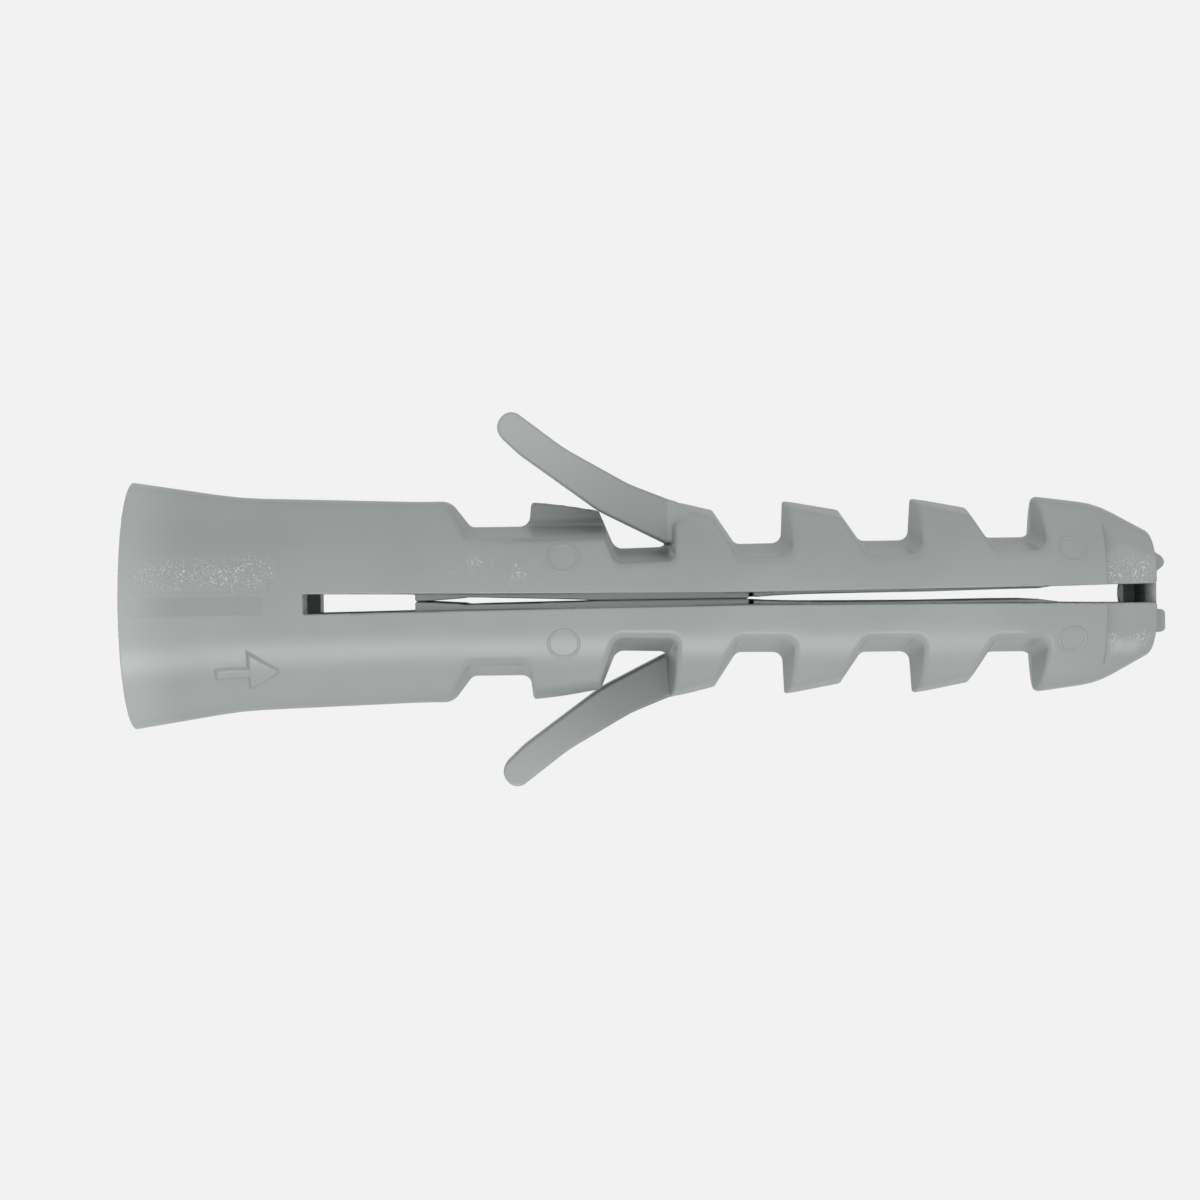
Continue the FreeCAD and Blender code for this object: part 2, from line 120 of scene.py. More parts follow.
def rounded(corners):
    """A closed path of points through corners (x, y, radius), with an arc where a corner has a radius."""
    points = []
    count = len(corners)
    for i, (x, y, radius) in enumerate(corners):
        here = np.array([x, y])
        if radius == 0:
            points.append(here)
            continue
        back = np.array(corners[i - 1][:2]) - here
        ahead = np.array(corners[(i + 1) % count][:2]) - here
        back /= np.linalg.norm(back)
        ahead /= np.linalg.norm(ahead)
        half = math.acos(np.clip(back @ ahead, -1, 1)) / 2
        reach = radius / math.tan(half)
        middle = (back + ahead) / np.linalg.norm(back + ahead)
        centre = here + middle * radius / math.sin(half)
        first = here + back * reach - centre
        last = here + ahead * reach - centre
        turn = math.atan2(first[0] * last[1] - first[1] * last[0], first @ last)
        steps = max(2, math.ceil(abs(turn) / math.radians(9)))
        for k in range(steps + 1):
            a = turn * k / steps
            rotated = [
                first[0] * math.cos(a) - first[1] * math.sin(a),
                first[0] * math.sin(a) + first[1] * math.cos(a),
            ]
            points.append(centre + rotated)
    return np.array(points)


class Outline:
    """Signed distance to a closed outline, read from a fine table of the box from low to high."""

    STEP = 0.025

    def __init__(self, corners, low, high):
        points = rounded(corners)
        self.low = np.array(low, float)
        shape = np.ceil((np.array(high) - self.low) / self.STEP).astype(int) + 2
        x, y = [self.low[k] + np.arange(shape[k]) * self.STEP for k in (0, 1)]
        x, y = x[:, None], y[None, :]
        nearest = np.full(shape, np.inf, np.float32)
        inside = np.zeros(shape, bool)
        for a, b in zip(points, np.roll(points, -1, axis=0)):
            ex, ey = b - a
            wx, wy = (x - a[0]).astype(np.float32), (y - a[1]).astype(np.float32)
            t = np.clip((wx * ex + wy * ey) / (ex * ex + ey * ey + 1e-12), 0, 1)
            nearest = np.minimum(nearest, (wx - ex * t) ** 2 + (wy - ey * t) ** 2)
            if ey:
                inside ^= ((a[1] > y) != (b[1] > y)) & (wx < ex * wy / ey)
        self.table = np.where(inside, -1, 1) * np.sqrt(nearest)

    def __call__(self, x, y):
        u = np.clip((x - self.low[0]) / self.STEP, 0, self.table.shape[0] - 2.001)
        v = np.clip((y - self.low[1]) / self.STEP, 0, self.table.shape[1] - 2.001)
        i, j = u.astype(np.int32), v.astype(np.int32)
        u, v = u - i, v - j
        t = self.table
        near = t[i, j] * (1 - u) + t[i + 1, j] * u
        far = t[i, j + 1] * (1 - u) + t[i + 1, j + 1] * u
        return near * (1 - v) + far * v


def meet(a, b, radius):
    """What two solids share, with the edge between them rounded."""
    corner = np.hypot(np.maximum(radius + a, 0), np.maximum(radius + b, 0))
    return np.minimum(-radius, np.maximum(a, b)) + corner


def join(a, b, radius):
    """Two solids together, with a fillet between them."""
    return -meet(-a, -b, radius)


def ramp(value, start, end):
    """Goes smoothly from 0 at start to 1 at end."""
    t = np.clip((value - start) / (end - start), 0, 1)
    return t * t * (3 - 2 * t)


# The plug's outlines, as corners (x, height or radius, rounding). Corners at -8, -3 and 8 only close an
# outline, well away from the plug.

ENVELOPE = Outline(
    [
        (0, -8, 0),
        (0, RIM_R + 0.05, 0.03),
        (4.2, 4.19, 14),
        (11.2, SHANK_R, 20),
        (34.6, SHANK_R, 4),
        (37.8, 3.53, 3.5),
        (TIP_X - 0.06, 2.36, 0.4),
        (TIP_X - 0.06, -8, 0),
    ],
    (-1, -1),
    (42, 9),
)
BORE = Outline(
    [
        (-1, -8, 0),
        (-1, 3.6, 0),
        (0.3, BORE_R, 0.3),
        (9.8, BORE_R, 0.6),
        (11.04, 1.9, 0),
        (11.04, 1.5, 0),
        (24, 0.6, 0),
        (24, -8, 0),
    ],
    (-1, -1),
    (42, 9),
)
# Each notch has two corners in its floor, and each tooth one at its crown and one at its back.
TEETH = Outline(
    [
        (5, -3, 0),
        (5, 8, 0),
        (9.4, 8, 0),
        # notch and tooth 1
        (13.27, RECESS_FLOOR, 0.35),
        (15.56, RECESS_FLOOR, 0.4),
        (15.66, 3.98, 0.06),
        (18.3, 3.54, 0.12),
        # notch and tooth 2
        (18.93, 2.03, 0.45),
        (20.93, 2.08, 0.3),
        (21.0, 3.93, 0.06),
        (22.76, 3.5, 0.15),
        # notch and tooth 3
        (23.65, 2.15, 0.35),
        (25.45, 2.17, 0.38),
        (25.52, 3.84, 0.08),
        (27.7, 3.44, 0.15),
        # notch and tooth 4
        (28.55, 2.21, 0.35),
        (30.44, 2.21, 0.38),
        (30.55, 3.88, 0.1),
        (32.72, 3.46, 0.15),
        # notch 5, with the nose behind it
        (33.5, 2.27, 0.35),
        (35.26, 2.27, 0.38),
        (35.38, 8, 0),
        (44, 8, 0),
        (44, -3, 0),
    ],
    (5, -1),
    (42, 9),
)
# From the root up along the outer face to the rounded free end, and back along the inner face.
TONGUE = Outline(
    [
        (21.9, 2.4, 0),
        (21.9, 3.3, 0.3),
        (21.4, 3.76, 1),
        (21.0, 3.87, 2),
        (19.5, 4.47, 4),
        (17.0, 5.9, 6),
        (14.88, 7.52, 0.5),
        (14.22, 6.68, 0.56),
        (15.23, 5.72, 3),
        (18.3, 3.47, 4),
        (20.93, 2.14, 0.5),
    ],
    (13, 1),
    (23, 9),
)


# The plug's solids


def outer(x, y, z):
    return ENVELOPE(x, np.hypot(y, z))


def tongue(x, y, z):
    """The upper tongue: a bent strip of even depth, with its outer edges eased."""
    half = (TONGUE_FRONT - TONGUE_BACK) / 2
    return meet(TONGUE(x, y), np.abs(z - TONGUE_BACK - half) - half, 0.13)


def slot_edge(x, z):
    """Half the width of the slot, which is a little tighter at mid depth."""
    face = np.interp(x, [7, 11, 24, 36, 38, 41], [0.385, 0.34, 0.235, 0.32, 0.36, 0.38])
    middle = np.interp(x, [7, 11, 24, 41], [0.365, 0.295, 0.22, 0.37])
    return middle + (face - middle) * np.minimum(np.abs(z) / SHANK_R, 1)


def rib(x, y, z):
    """The clamping ribs: a ledge along each side of the slot that all but closes it below the surface."""
    first = np.interp(x, [11.5, 13, 13.1, 14.4, 17.6, 18.2], [0.004, 0.1, 0.14, 0.11, 0.035, 0.008])
    second = np.interp(x, [24.2, 25, 26.2, 28.2, 35.1, RIB_END], [0.05, 0.1, 0.14, 0.16, 0.2, 0.32])
    crest = np.where(x < RIB_CUT, first, second)
    ledge = meet(crest - y, np.abs(z) - RIB_Z, 0.04)
    ends = np.maximum(RIB_START - x, x - RIB_END)
    cut = np.maximum(np.abs(x - RIB_CUT) - 0.09, 1.2 - np.abs(z))
    return np.maximum(np.maximum(ledge, y - 1.3), np.maximum(ends, -cut))


def pilot_radius(x):
    """Radius of the channel that the ribs leave free for the screw's point."""
    return np.interp(x, [RIB_START, 24], [0.5, 0.3])


def nose_facets(x, y, z):
    """Flats cut on the front and back of the nose, each sloping off to both sides."""
    pad = np.abs(z) - NOSE_FLAT_Z + 0.39 * (x - NOSE_X)
    slant = (np.abs(y) - 1.52) * 0.485 + (np.abs(z) - NOSE_FLAT_Z + 0.1 * (x - NOSE_X)) * 0.875
    return np.maximum(NOSE_X - x, -meet(pad, slant, 0.05))


def leg(x, y, z, rib_lift):
    """The upper leg, with its teeth, the recess for the tongue, and the stub that the tongue grows from.

    rib_lift is how far the ends of the ribs lie to one side of where they would be centred.
    """
    skin = outer(x, y, z)
    lift = y + DRAFT * np.sqrt(z * z + 0.02)
    drafted = x - WALL_DRAFT * np.abs(z) * (x > WALL_DRAFT_START)
    room = np.maximum(meet(-z, RECESS_FLOOR - lift, 0.35), np.maximum(RECESS_START - x, x - RECESS_END))
    teeth = np.maximum(np.maximum(TEETH(x, lift), TEETH(drafted, lift)), -room)
    solid = meet(skin, teeth, 0.25)
    solid = meet(solid, -nose_facets(x, y, z), 0.04)
    solid = meet(solid, slot_edge(x, z) - y, EDGE)
    solid = meet(solid, -BORE(x, np.hypot(y, z)), EDGE)
    off_centre = rib_lift * np.interp(x, [11, 14, 18, 31, 34], [1, 1, 0, 0, 0.9])
    ribs = np.maximum(rib(x, y - off_centre, z), np.maximum(skin + 0.03, pilot_radius(x) - np.hypot(y, z)))
    solid = np.minimum(solid, ribs)
    stub = np.maximum(tongue(x, y, z), 20.1 - x)
    return join(solid, stub, 0.12)


def gate_nub(x, y, z, middle, half, taper):
    """What is left of the gate on the end of a leg: a small block, rounded or coming to a blunt point."""
    depth = np.maximum(39.5 - x, np.abs(z) - 0.3)
    slope = np.abs(y - middle) + taper * np.maximum(x - TIP_X, 0) - half
    return meet(np.maximum(depth, slope), x - TIP_X - 0.54, 0.18)


def upper_leg(x, y, z):
    nub = gate_nub(x, y, z, middle=1.2, half=0.5, taper=0.7)
    return join(leg(x, y, z, rib_lift=0.045), nub, 0.1)


def lower_leg(x, y, z):
    nub = gate_nub(x, -y, z, middle=1.1, half=0.48, taper=0.1)
    return join(leg(x, -y, -z, rib_lift=-0.045), nub, 0.1)


def arrow(x, y, z):
    """Raised arrow on the neck, pointing the way the plug goes in, as a distance on the unrolled skin."""
    across = (np.arctan2(y, z) + ARROW_ANGLE) * ARROW_R
    along = x - ARROW_X
    head = np.maximum(along - 1.1, np.abs(across) + along * 0.75 - 0.9)
    head = np.maximum(head, -along)
    shaft = np.maximum(np.abs(along + 0.6) - 0.65, np.abs(across) - 0.22)
    return np.minimum(head, shaft)


def neck(x, y, z):
    """The closed, flared neck, with a shallow band on front and back that carries on the line of the slot."""
    skin = outer(x, y, z)
    band = ramp(np.abs(y), 0.42, 0.28) * ramp(x, 0.2, 0.5) * ramp(x, 6.6, 4.6)
    raised = ramp(arrow(x, y, z), 0.08, -0.06)
    solid = meet(skin + 0.025 * band - 0.12 * raised, -BORE(x, np.hypot(y, z)), 0.1)
    slot = np.maximum(SLOT_START - 0.025 * z - x, np.abs(y) - slot_edge(x, z))
    return meet(solid, -slot, 0.04)


def web(x, y, z):
    """The thin break-away web between the tips: a deep cell between two walls, the nearer one leaning."""
    lean = 0.16 * np.maximum(0.4 - z, 0)
    bulge = WEB_X + lean - 0.08 * np.sqrt(np.maximum(1 - (y / 0.4) ** 2, 0))
    back = -WEB_REACH - z
    near = np.maximum(np.maximum(bulge - x, x - WEB_X - 0.1 - lean), np.maximum(z - 0.8, back))
    far = np.maximum(meet(39.55 - x, z - WEB_REACH, 0.6), np.maximum(x - TIP_X + 0.08, back))
    floor = np.maximum(np.maximum(bulge - x, x - 39.9), np.maximum(z + 1.0, back))
    return meet(np.minimum(np.minimum(near, far), floor), np.abs(y) - 0.6, 0.02)


# Meshing

# The name under which each point keeps its place in the moulded shape.
REST_PLACE = "rest_place"
# A field is sampled this many layers at a time along X, which keeps the memory it takes small.
LAYERS = 40


def gradient(field, points, step=0.012):
    """Slope of a field at each point."""
    slopes = []
    for axis in range(3):
        shift = np.zeros(3)
        shift[axis] = step
        slopes.append(field(*(points + shift).T) - field(*(points - shift).T))
    return np.stack(slopes, axis=1) / (2 * step)


def settle(field, points, voxel):
    """Moves points onto the surface of a field."""
    for _ in range(3):
        value = field(*points.T)
        slope = gradient(field, points)
        length = np.maximum((slope**2).sum(axis=1), 0.05)
        move = np.clip(value / length, -voxel / 2, voxel / 2)
        points = points - slope * move[:, None]
    return points


def surface(field, low, high, voxel):
    """Points and four-sided faces of a field's surface inside a box."""
    axes = [np.arange(a, b + voxel, voxel) for a, b in zip(low, high)]
    values = np.empty([len(axis) for axis in axes], np.float32)
    for start in range(0, len(axes[0]), LAYERS):
        part = slice(start, start + LAYERS)
        values[part] = field(*np.meshgrid(axes[0][part], axes[1], axes[2], indexing="ij"))
    grid = openvdb.FloatGrid(1.0)
    grid.copyFromArray(np.clip(values, -1, 1))
    points, quads = grid.convertToQuads(0.0)
    points = points.astype(float) * voxel + np.array([axis[0] for axis in axes])
    return settle(field, points, voxel), quads


def slice_off(shape, point, normal, region):
    """Cuts off what lies beyond a plane, within a region if one is given, and closes the cut flat."""
    faces = [f for f in shape.faces if region is None or all(region(v.co) for v in f.verts)]
    edges = {e for f in faces for e in f.edges}
    verts = {v for f in faces for v in f.verts}
    cut = bmesh.ops.bisect_plane(
        shape,
        geom=list(verts) + list(edges) + faces,
        plane_co=Vector(point),
        plane_no=Vector(normal),
        dist=1e-5,
        clear_outer=True,
    )
    rim = [e for e in cut["geom_cut"] if isinstance(e, bmesh.types.BMEdge)]
    bmesh.ops.triangle_fill(shape, use_beauty=True, use_dissolve=False, edges=rim)


def build(name, field, low, high, voxel, cuts, material):
    """One piece of the moulding: a field's surface, cut by planes, with normals taken from the field."""
    points, quads = surface(field, low, high, voxel)
    mesh = bpy.data.meshes.new(name)
    mesh.from_pydata(points.tolist(), [], quads.tolist())
    shape = bmesh.new()
    shape.from_mesh(mesh)
    for point, normal, region in cuts:
        slice_off(shape, point, normal, region)
    loose = [v for v in shape.verts if not v.link_faces]
    bmesh.ops.delete(shape, geom=loose, context="VERTS")
    bmesh.ops.recalc_face_normals(shape, faces=shape.faces)
    shape.to_mesh(mesh)
    shape.free()
    shade(mesh, field)
    mesh.transform(Matrix.Scale(MM, 4))
    return nylon_piece(name, mesh, material)


def nylon_piece(name, mesh, material):
    """An object made of a finished mesh, which remembers where each point is before anything bends."""
    points = np.empty(len(mesh.vertices) * 3, np.float32)
    mesh.vertices.foreach_get("co", points)
    mesh.attributes.new(REST_PLACE, "FLOAT_VECTOR", "POINT").data.foreach_set("vector", points)
    mesh.materials.append(material)
    piece = bpy.data.objects.new(name, mesh)
    bpy.context.scene.collection.objects.link(piece)
    return piece


def shade(mesh, field):
    """Gives every corner the field's own normal, except on the flat faces where the moulding was cut."""
    count = len(mesh.vertices)
    points = np.empty(count * 3)
    mesh.vertices.foreach_get("co", points)
    slope = gradient(field, points.reshape(-1, 3))
    slope /= np.linalg.norm(slope, axis=1, keepdims=True) + 1e-9
    loops = np.empty(len(mesh.loops), int)
    mesh.loops.foreach_get("vertex_index", loops)
    faces = np.empty(len(mesh.polygons) * 3)
    mesh.polygons.foreach_get("normal", faces)
    sizes = np.empty(len(mesh.polygons), int)
    mesh.polygons.foreach_get("loop_total", sizes)
    flat = np.repeat(faces.reshape(-1, 3), sizes, axis=0)
    normals = slope[loops]
    agree = (normals * flat).sum(axis=1) > 0.55
    normals = np.where(agree[:, None], normals, flat)
    mesh.polygons.foreach_set("use_smooth", np.ones(len(mesh.polygons), bool))
    mesh.normals_split_custom_set(normals.tolist())


# Beads: thin raised lines that stand on the moulding

# A bead's section is half round, with this many points.
BEAD_POINTS = 9
# How deep the foot of a bead lies under the skin.
BEAD_SINK = 0.012


def bead(name, line, body, width, height, material, closed=False):
    """A thin half-round bead along a line of (point, outward direction) pairs, riding on one body.

    An open bead sinks into the skin over its last few points.
    """
    shape = bmesh.new()
    rows = []
    count = len(line)
    for i, (point, out) in enumerate(line):
        rise = height if closed else (height + BEAD_SINK) * min(1, i / 4, (count - 1 - i) / 4) - BEAD_SINK
        ahead = line[(i + 1) % count][0] if closed or i + 1 < count else point
        behind = line[i - 1][0] if closed or i else point
        along = (ahead - behind).normalized()
        side = along.cross(out).normalized()
        row = []
        for k in range(BEAD_POINTS):
            a = math.pi * k / (BEAD_POINTS - 1)
            offset = side * math.cos(a) * width / 2 + out * (math.sin(a) * (rise + BEAD_SINK) - BEAD_SINK)
            row.append(shape.verts.new((point + offset) * MM))
        rows.append(row)
    pairs = list(zip(rows, rows[1:])) + ([(rows[-1], rows[0])] if closed else [])
    for a, b in pairs:
        for k in range(BEAD_POINTS):
            n = (k + 1) % BEAD_POINTS
            shape.faces.new((a[k], a[n], b[n], b[k]))
    if not closed:
        shape.faces.new(rows[0])
        shape.faces.new(rows[-1])
    bmesh.ops.recalc_face_normals(shape, faces=shape.faces)
    mesh = bpy.data.meshes.new(name)
    shape.to_mesh(mesh)
    shape.free()
    mesh.polygons.foreach_set("use_smooth", [True] * len(mesh.polygons))
    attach(nylon_piece(name, mesh, material), body)


# Material

NYLON_COLOUR = (0.266, 0.289, 0.280)
CLOUD_COLOUR = (0.284, 0.306, 0.298)
BAND_COLOUR = (0.24, 0.258, 0.25)
# Painted highlight: the pale colour of the glints on the spark-eroded grit.
PAINTED_GLINT_COLOUR = (0.62, 0.63, 0.62)
# Painted shade: the dark colour laid on a tongue towards its root, where the teeth shade it.
ROOT_SHADE_COLOUR = (0.18, 0.195, 0.188)
# Painted light: the pale colour laid on the tongues' free ends, the rim and a wedge of the nose.
PAINTED_LIGHT_COLOUR = (0.36, 0.385, 0.372)


class Shading:
    """Short calls for the shader nodes of one material, which all read places in the moulded shape."""

    def __init__(self, material):
        self.nodes = material.node_tree.nodes
        self.links = material.node_tree.links
        rest = self.nodes.new("ShaderNodeAttribute")
        rest.attribute_name = REST_PLACE
        self.place = rest.outputs["Vector"]
        axes = self.nodes.new("ShaderNodeSeparateXYZ")
        self.links.new(self.place, axes.inputs["Vector"])
        self.x, self.y, self.z = axes.outputs

    def noise(self, scale, detail, roughness=0.5):
        node = self.nodes.new("ShaderNodeTexNoise")
        node.inputs["Scale"].default_value = scale
        node.inputs["Detail"].default_value = detail
        node.inputs["Roughness"].default_value = roughness
        self.links.new(self.place, node.inputs["Vector"])
        return node.outputs["Fac"]

    def span(self, value, start, end, at_start, at_end):
        """Goes smoothly from one number to another while a value goes from start to end."""
        node = self.nodes.new("ShaderNodeMapRange")
        node.interpolation_type = "SMOOTHSTEP"
        self.links.new(value, node.inputs["Value"])
        node.inputs["From Min"].default_value = start
        node.inputs["From Max"].default_value = end
        node.inputs["To Min"].default_value = at_start
        node.inputs["To Max"].default_value = at_end
        return node.outputs["Result"]

    def span_mm(self, place, start, end, at_start, at_end):
        """The same along a line, between two places in millimetres."""
        return self.span(place, start * MM, end * MM, at_start, at_end)

    def combine(self, kind, a, b):
        """One step of arithmetic on two values or plain numbers."""
        node = self.nodes.new("ShaderNodeMath")
        node.operation = kind
        for value, socket in zip((a, b), node.inputs):
            if isinstance(value, (int, float)):
                socket.default_value = value
            else:
                self.links.new(value, socket)
        return node.outputs["Value"]

    def times(self, value, *factors):
        for factor in factors:
            value = self.combine("MULTIPLY", value, factor)
        return value

    def magnitude(self, value):
        return self.combine("ABSOLUTE", value, 0)

    def mix(self, base, colour, factor):
        """Mixes a colour into another by a factor."""
        node = self.nodes.new("ShaderNodeMix")
        node.data_type = "RGBA"
        node.inputs["B"].default_value = (*colour, 1)
        self.links.new(factor, node.inputs["Factor"])
        if isinstance(base, tuple):
            node.inputs["A"].default_value = (*base, 1)
        else:
            self.links.new(base, node.inputs["A"])
        return node.outputs["Result"]

    def patch(self, x_low, x_high, y_low, y_high, soft):
        """1 inside a rectangle of the plug's front, in millimetres, fading out over its border."""
        return self.times(
            self.span_mm(self.z, 0, 0.5, 0, 1),
            self.span_mm(self.x, x_low - soft, x_low + soft, 0, 1),
            self.span_mm(self.x, x_high - soft, x_high + soft, 1, 0),
            self.span_mm(self.y, y_low - soft, y_low + soft, 0, 1),
            self.span_mm(self.y, y_high - soft, y_high + soft, 1, 0),
        )

    def off_axis(self):
        """Distance from the plug's axis."""
        flat = self.nodes.new("ShaderNodeCombineXYZ")
        self.links.new(self.y, flat.inputs["Y"])
        self.links.new(self.z, flat.inputs["Z"])
        length = self.nodes.new("ShaderNodeVectorMath")
        length.operation = "LENGTH"
        self.links.new(flat.outputs["Vector"], length.inputs[0])
        return length.outputs["Value"]


def speckle(shading):
    """How strongly the spark-eroded patches show: one on the neck, one on the upper leg, two on the nose. The
    grit is real bump and lower roughness, and its bright specks are painted highlights in the colour.
    """
    sparse = shading.noise(1500, 1)
    eroded = shading.patch(0.0, 5.8, 0.75, 1.7, 0.5)
    scattered = shading.patch(12.4, 15.8, 0.8, 1.9, 0.4)
    scattered = shading.times(scattered, shading.span(sparse, 0.48, 0.7, 0, 0.9))
    upper_nose = shading.patch(37.9, 39.8, 0.4, 1.4, 0.15)
    lower_nose = shading.patch(37.9, 39.6, -2.2, -1.5, 0.2)
    for area in (scattered, upper_nose, lower_nose):
        eroded = shading.combine("MAXIMUM", eroded, area)
    eroded = shading.times(eroded, shading.span(sparse, 0.3, 0.6, 0.3, 1))
    specks = shading.noise(13000, 2, 0.65)
    return shading.times(shading.span(specks, 0.54, 0.64, 0, 1), eroded)


def root_shade(shading, start, full):
    """How much painted shade darkens a tongue towards its root, between two places along X, up to the tooth
    it leaves.

    The upper tongue gets half as much painted shade as the lower one.
    """
    return shading.times(
        shading.span_mm(shading.x, start, full, 0, 1),
        shading.span_mm(shading.x, 20.94, 20.98, 1, 0),
        shading.span_mm(shading.magnitude(shading.y), 2.2, 2.3, 0, 1),
        shading.span_mm(shading.magnitude(shading.z), 2.42, 2.5, 1, 0),
        shading.span_mm(shading.z, -0.5, 0.5, 1, 0.5),
    )


def painted_light(shading):
    """How much painted light pales the nylon: towards the tongues' free ends and at the rim, plus a painted
    highlight on a bit of the nose.
    """
    ends = shading.span_mm(shading.off_axis(), 4.2, 7.6, 0, 0.5)
    rim = shading.span_mm(shading.x, 0, 2.4, 0.8, 0)
    painted_nose_highlight = shading.times(shading.patch(38.1, 39.2, -2.3, -1.75, 0.2), 0.8)
    return shading.combine("MAXIMUM", shading.combine("MAXIMUM", ends, rim), painted_nose_highlight)


def nylon_material(name, shade_start, shade_full):
    """Semi-matte grey nylon, faintly clouded, with a fine grain. Its gloss fades at grazing angles. Its
    colour also carries painted glints on the spark-eroded grit, painted shade towards the tongues' roots, and
    painted light towards their free ends, at the rim and on the nose.
    """
    material = bpy.data.materials.new(name)
    material.use_nodes = True
    shader = material.node_tree.nodes["Principled BSDF"]
    shading = Shading(material)
    cloud = shading.noise(260, 3)
    glint = speckle(shading)
    band = shading.times(shading.patch(0.8, 5.4, -0.36, 0.38, 0.1), 0.75)

    colour = shading.mix(NYLON_COLOUR, CLOUD_COLOUR, shading.span(cloud, 0.35, 0.65, 0, 1))
    colour = shading.mix(colour, BAND_COLOUR, band)
    # Painted highlight: pale glints mixed into the colour where the spark-eroded grit shows.
    colour = shading.mix(colour, PAINTED_GLINT_COLOUR, shading.times(glint, 0.9))
    # Painted shade: darker towards each tongue's root.
    colour = shading.mix(colour, ROOT_SHADE_COLOUR, root_shade(shading, shade_start, shade_full))
    # Painted light: paler towards the tongues' free ends and at the rim, and a painted highlight on the nose.
    colour = shading.mix(colour, PAINTED_LIGHT_COLOUR, painted_light(shading))
    shading.links.new(colour, shader.inputs["Base Color"])

    rough = shading.combine("SUBTRACT", shading.span(cloud, 0.3, 0.7, 0.33, 0.38), shading.times(glint, 0.1))
    shading.links.new(rough, shader.inputs["Roughness"])
    shader.inputs["IOR"].default_value = 1.53
    facing = shading.nodes.new("ShaderNodeLayerWeight")
    facing.inputs["Blend"].default_value = 0.5
    gloss = shading.span(facing.outputs["Facing"], 0.3, 0.75, 0.7, 0.04)
    shading.links.new(gloss, shader.inputs["Specular IOR Level"])

    grain = shading.noise(9000, 3, 0.6)
    bump = shading.nodes.new("ShaderNodeBump")
    bump.inputs["Strength"].default_value = 0.35
    bump.inputs["Distance"].default_value = 0.03 * MM
    shading.links.new(shading.combine("ADD", shading.times(grain, 0.25), glint), bump.inputs["Height"])
    shading.links.new(bump.outputs["Normal"], shader.inputs["Normal"])
    return material


# Pieces. A turn of 1 is the upper side and -1 the lower one.

# The spacing of a mesh's points, as fine as the limit on one piece's triangles allows.
NECK_VOXEL = 0.07
LEG_VOXEL = 0.0945
TONGUE_VOXEL = 0.045
WEB_VOXEL = 0.035
# The edge of the neck's band, where the mould's parting shows.
FLASH_Y = 0.44
# The ejector pin marks on the front of a leg: name, place along X, height and radius.
EJECTOR_MARKS = (("tooth", 16.9, 1.65, 0.58), ("nose", 36.45, 1.74, 0.52))


def half_turned(field):
    """The same solid turned half a turn about the plug's axis."""
    return lambda x, y, z: field(x, -y, -z)


def make_neck(material):
    cuts = [((LEG_START, 0, 0), (1, 0, 0), None)]
    piece = build("neck_moulding", neck, (-0.3, -5.1, -5.1), (7.5, 5.1, 5.1), NECK_VOXEL, cuts, material)
    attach(piece, "neck")
    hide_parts("neck_sleeve")


def make_leg(side, field, turn, material):
    def near_root(v):
        """Is the point on the stub of the tongue?"""
        over_floor = turn * v[1] > 2.17 - DRAFT * abs(v[2])
        return 20.0 < v[0] < 20.75 and over_floor and turn * v[2] > 0

    cuts = [
        ((LEG_START, 0, 0), (-1, 0, 0), None),
        ((ROOT_X, 0, 0), (-1, 0, 0), near_root),
    ]
    low = (6.6, -0.15 if turn > 0 else -4.3, -4.3)
    high = (40.8, 4.3 if turn > 0 else 0.15, 4.3)
    piece = build(f"{side}_leg_moulding", field, low, high, LEG_VOXEL, cuts, material)
    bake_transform(piece)
    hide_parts(f"{side}_leg")


def make_tongue(side, turn, material):
    """A tongue in two pieces, both cut from the same strip."""
    field = tongue if turn > 0 else half_turned(tongue)
    tilt = np.array(SPLIT_TOP) - SPLIT
    tilt /= np.linalg.norm(tilt)
    towards_tip = (-tilt[1], tilt[0])
    split = (SPLIT[0], turn * SPLIT[1], 0)
    to_tip = (towards_tip[0], turn * towards_tip[1], 0)
    to_root = (-to_tip[0], -to_tip[1], 0)
    depths = sorted((0.0, turn * 2.6))
    heights = sorted((turn * 1.9, turn * 7.7))
    low = (13.8, heights[0], depths[0])
    high = (21.0, heights[1], depths[1])
    root_cuts = [((ROOT_X, 0, 0), (1, 0, 0), None), (split, to_tip, None)]
    root = build(f"{side}_tongue_root_strip", field, low, high, TONGUE_VOXEL, root_cuts, material)
    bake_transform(root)
    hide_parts(f"{side}_tongue_root")
    tip_cuts = [(split, to_root, None)]
    tip = build(f"{side}_tongue_tip_strip", field, low, high, TONGUE_VOXEL, tip_cuts, material)
    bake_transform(tip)
    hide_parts(f"{side}_tongue_tip")


def make_web(side, turn, material):
    """One half of the web between the tips, parted where it tears."""
    low = (38.4, -0.7, -2.1)
    high = (40.2, 0.7, 2.1)
    cuts = [((0, turn * 0.003, 0), (0, -turn, 0), None)]
    piece = build(f"{side}_tip_web_stub", web, low, high, WEB_VOXEL, cuts, material)
    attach(piece, f"{side}_leg_body")
    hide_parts(f"{side}_tip_web")


def make_flash(name, turn, material):
    """The faint line that the mould's parting leaves along the edge of the band, on the front or the back."""
    line = []
    for x in np.linspace(0.35, 5.95, 30):
        radius = envelope_radius(x)
        out = Vector((0, turn * FLASH_Y, turn * math.sqrt(radius**2 - FLASH_Y**2)))
        line.append((Vector((x, 0, 0)) + out, out.normalized()))
    bead(name, line, "neck", 0.16, 0.008, material)


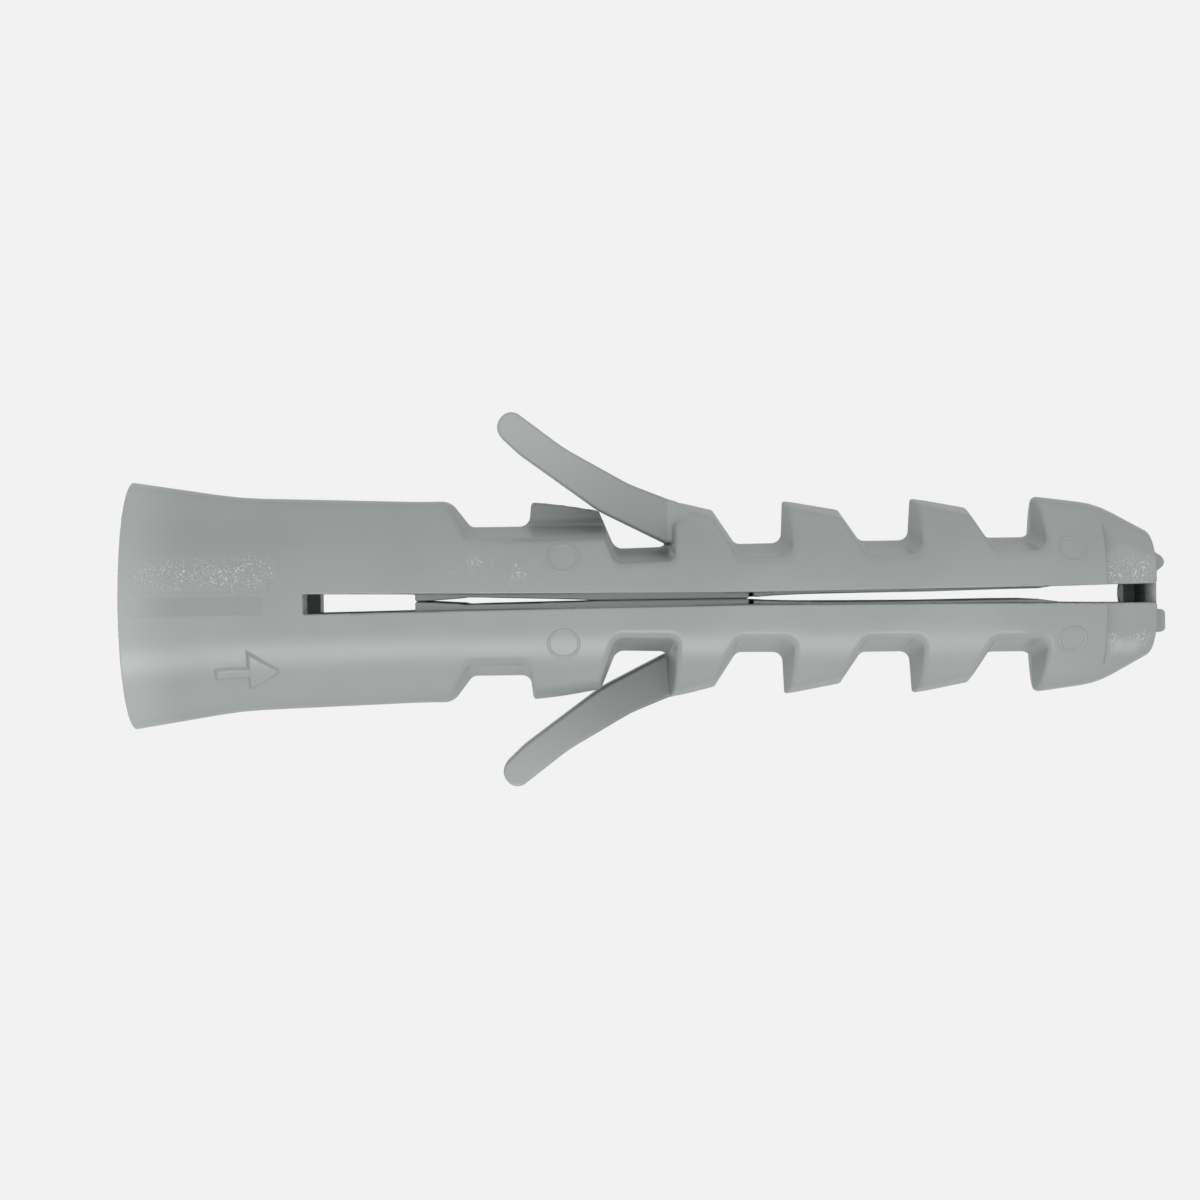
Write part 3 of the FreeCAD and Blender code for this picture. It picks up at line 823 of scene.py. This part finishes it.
def make_ejector_rings(side, turn, material):
    """The low rims that the ejector pins left round their marks on the front of a leg."""
    for name, x, y, radius in EJECTOR_MARKS:
        skin_radius = envelope_radius(x)
        out = Vector((0, turn * y, math.sqrt(skin_radius**2 - y**2))).normalized()
        across = Vector((1, 0, 0)).cross(out)
        line = []
        for k in range(48):
            a = 2 * math.pi * k / 48
            spot = Vector((x, 0, 0)) + out * skin_radius + radius * (
                Vector((math.cos(a), 0, 0)) + across * math.sin(a)
            )
            away = Vector((0, spot.y, spot.z)).normalized()
            line.append((Vector((spot.x, 0, 0)) + away * envelope_radius(spot.x), away))
        bead(f"{side}_{name}_ejector_ring", line, f"{side}_leg_body", 0.13, 0.03, material, closed=True)


def envelope_radius(x):
    """Radius of the plug's skin at one place along it."""
    radii = np.linspace(1.5, 5.5, 4001)
    return radii[np.argmin(np.abs(ENVELOPE(np.full(radii.shape, x), radii)))]


# Stage. The floor and the softboxes are in metres, and the camera is in millimetres and degrees.

FLOOR_HALF = 1.5
FLOOR_GLOW = 0.888
HORIZON_LIGHT = 0.8
OVERHEAD_LIGHT = 1.0
# The camera looks almost straight down, from this far above the plug and this far towards +Y.
CAMERA_HEIGHT = 130
CAMERA_OFFSET = 0.85
CAMERA_ROLL = -0.766


def stage():
    """A plain glowing floor under the plug, and the light of the studio round it."""
    mesh = bpy.data.meshes.new("floor")
    height = -(RIM_R + 0.01) * MM
    corners = [(a * FLOOR_HALF, b * FLOOR_HALF, height) for a, b in ((-1, -1), (1, -1), (1, 1), (-1, 1))]
    mesh.from_pydata(corners, [], [(0, 1, 2, 3)])
    floor = bpy.data.objects.new("floor", mesh)
    bpy.context.scene.collection.objects.link(floor)
    material = bpy.data.materials.new("light_table")
    material.use_nodes = True
    nodes = material.node_tree.nodes
    nodes.clear()
    glow = nodes.new("ShaderNodeEmission")
    glow.inputs["Color"].default_value = (1, 1, 1, 1)
    glow.inputs["Strength"].default_value = FLOOR_GLOW
    output = nodes.new("ShaderNodeOutputMaterial")
    material.node_tree.links.new(glow.outputs["Emission"], output.inputs["Surface"])
    mesh.materials.append(material)
    bpy.context.scene.world = studio_world()
    bpy.context.scene.view_settings.view_transform = "Standard"


def studio_world():
    """Soft white light from all round, a little stronger from overhead than from the sides."""
    world = bpy.data.worlds.new("studio")
    world.use_nodes = True
    nodes = world.node_tree.nodes
    links = world.node_tree.links
    direction = nodes.new("ShaderNodeTexCoord").outputs["Generated"]
    axes = nodes.new("ShaderNodeSeparateXYZ")
    links.new(direction, axes.inputs["Vector"])
    rise = nodes.new("ShaderNodeMapRange")
    links.new(axes.outputs["Z"], rise.inputs["Value"])
    rise.inputs["From Min"].default_value = 0.0
    rise.inputs["From Max"].default_value = 0.7
    rise.inputs["To Min"].default_value = HORIZON_LIGHT
    rise.inputs["To Max"].default_value = OVERHEAD_LIGHT
    nodes["Background"].inputs["Color"].default_value = (1, 1, 1, 1)
    links.new(rise.outputs["Result"], nodes["Background"].inputs["Strength"])
    return world


def softbox(name, angle, distance, width, power):
    """A square softbox over the plug's middle, at an angle from straight up towards -Y."""
    data = bpy.data.lights.new(name, "AREA")
    data.shape = "RECTANGLE"
    data.size = width
    data.size_y = width
    data.energy = power
    light = bpy.data.objects.new(name, data)
    turn = math.radians(angle)
    middle = Vector((TIP_X / 2 * MM, 0, 0))
    away = Vector((0, -math.sin(turn), math.cos(turn)))
    light.location = middle + away * distance
    light.rotation_euler = away.to_track_quat("Z", "Y").to_euler()
    bpy.context.scene.collection.objects.link(light)


def camera():
    data = bpy.data.cameras.new("camera")
    data.lens = 99
    data.sensor_width = 36
    data.clip_start = 0.01
    eye = bpy.data.objects.new("camera", data)
    aim = Vector((18.31, -0.006, 0)) * MM
    eye.location = aim + Vector((0, CAMERA_OFFSET, CAMERA_HEIGHT)) * MM
    tilt = Quaternion((1, 0, 0), -math.atan2(CAMERA_OFFSET, CAMERA_HEIGHT))
    roll = Quaternion((0, 0, 1), math.radians(CAMERA_ROLL))
    eye.rotation_euler = (tilt @ roll).to_euler()
    bpy.context.scene.collection.objects.link(eye)
    bpy.context.scene.camera = eye


# Both materials paint shade at the tongues' roots. On the strips the painted shade starts further out along
# the tongue.
nylon = nylon_material("grey_nylon", shade_start=20.3, shade_full=20.4)
shaded_strip_nylon = nylon_material("grey_nylon_strip", shade_start=15.5, shade_full=20.3)
make_neck(nylon)
make_leg("upper", upper_leg, 1, nylon)
make_leg("lower", lower_leg, -1, nylon)
for side, turn in (("upper", 1), ("lower", -1)):
    make_tongue(side, turn, shaded_strip_nylon)
    make_web(side, turn, nylon)
    make_ejector_rings(side, turn, nylon)
make_flash("front_flash_line", 1, nylon)
make_flash("rear_flash_line", -1, nylon)
stage()
softbox("key", angle=54, distance=0.5, width=0.18, power=0.43)
softbox("fill", angle=5, distance=0.5, width=0.35, power=0.09)
camera()
